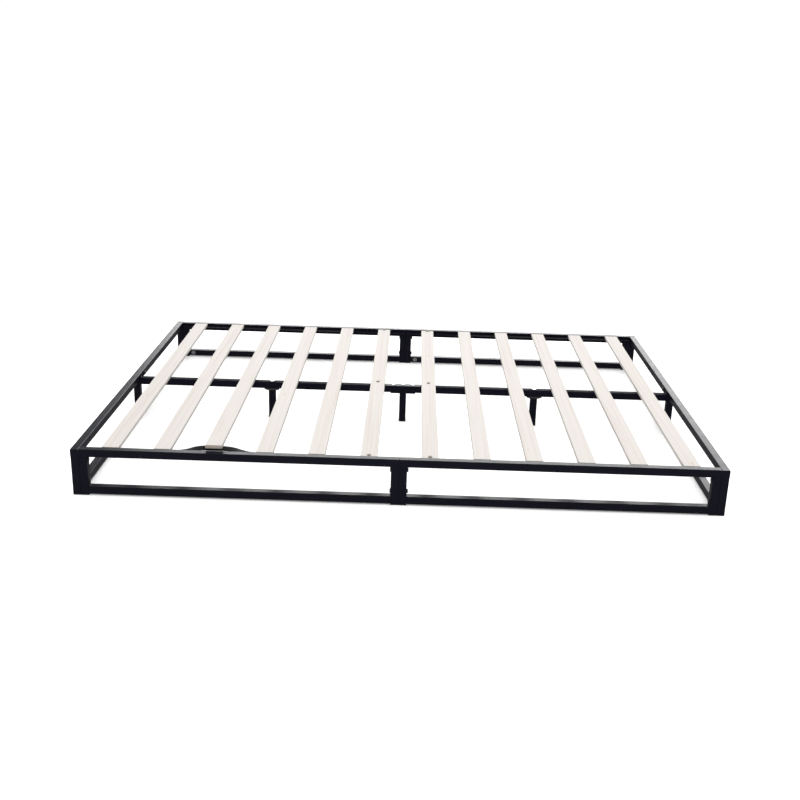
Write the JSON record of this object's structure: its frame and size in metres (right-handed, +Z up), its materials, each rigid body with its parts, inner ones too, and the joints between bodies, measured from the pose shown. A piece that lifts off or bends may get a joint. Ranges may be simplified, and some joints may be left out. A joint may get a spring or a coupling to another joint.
{
  "type": "metal bed frame",
  "caption": "Low black steel tube bed frame with pine slats on ribbons, a centre rail on short legs and open sides.",
  "frame": {"origin": "on the floor, in the middle of the footprint", "axes": "+X along the bed to the right end, +Y from the front side to the back side, +Z up"},
  "size_m": [2.019, 1.511, 0.1699],
  "materials": {
    "black_powder_coat": "semi-gloss powder coat",
    "black_fastener": "black oxide, satin",
    "zinc_plate": "bright zinc",
    "yellow_zinc": "yellow-passivated zinc, dulled",
    "dull_zinc": "grey zinc, dull",
    "matte_black_coat": "matte black powder coat",
    "staple_wire": "bright wire",
    "black_plastic": "moulded, matte",
    "pine_slat": "pale planed pine, unvarnished",
    "black_webbing": "woven polypropylene ribbon"
  },
  "bodies": {
    "frame": {"bracket_bolts": "black_fastener", "centre_leg_left": "matte_black_coat", "centre_leg_middle": "matte_black_coat", "centre_leg_right": "matte_black_coat", "centre_rail_bracket_left": "matte_black_coat", "centre_rail_bracket_right": "matte_black_coat", "centre_rail_joiner": "matte_black_coat", "centre_rail_left": "matte_black_coat", "centre_rail_right": "matte_black_coat", "centre_rail_strap": "dull_zinc", "corner_bolts": "black_fastener", "corner_weld_nuts": "black_fastener", "end_frame_left": "black_powder_coat", "end_frame_right": "black_powder_coat", "joiner_bolts": "zinc_plate", "leg_bolts": "zinc_plate", "leg_foot_caps": "black_plastic", "leg_saddle_left": "black_plastic", "leg_saddle_right": "black_plastic", "leg_weld_nuts": "black_fastener", "mid_bolts": "black_fastener", "mid_nuts": "black_fastener", "post_foot_caps": "black_plastic", "rail_screws": "dull_zinc", "side_frame_back_left": "black_powder_coat", "side_frame_back_right": "black_powder_coat", "side_frame_front_left": "black_powder_coat", "side_frame_front_right": "black_powder_coat", "slat_06": "pine_slat", "slat_07": "pine_slat", "slat_ledge_back_left": "black_powder_coat", "slat_ledge_back_right": "black_powder_coat", "slat_ledge_front_left": "black_powder_coat", "slat_ledge_front_right": "black_powder_coat", "slat_screws": "yellow_zinc"},
    "slat_roll_left": {"slat_01": "pine_slat", "slat_02": "pine_slat", "slat_03": "pine_slat", "slat_04": "pine_slat", "slat_05": "pine_slat", "ribbon_front_left": "black_webbing", "ribbon_back_left": "black_webbing", "staples_left": "staple_wire"},
    "slat_roll_right": {"slat_08": "pine_slat", "slat_09": "pine_slat", "slat_10": "pine_slat", "slat_11": "pine_slat", "slat_12": "pine_slat", "ribbon_front_right": "black_webbing", "ribbon_back_right": "black_webbing", "staples_right": "staple_wire"}
  },
  "joints": [
    {"name": "left_roll_lift", "type": "slide", "parent": "frame", "child": "slat_roll_left", "axis": [0, 0, 1], "range_m": [0, 0.12]},
    {"name": "right_roll_lift", "type": "slide", "parent": "frame", "child": "slat_roll_right", "axis": [0, 0, 1], "range_m": [0, 0.12]}
  ]
}
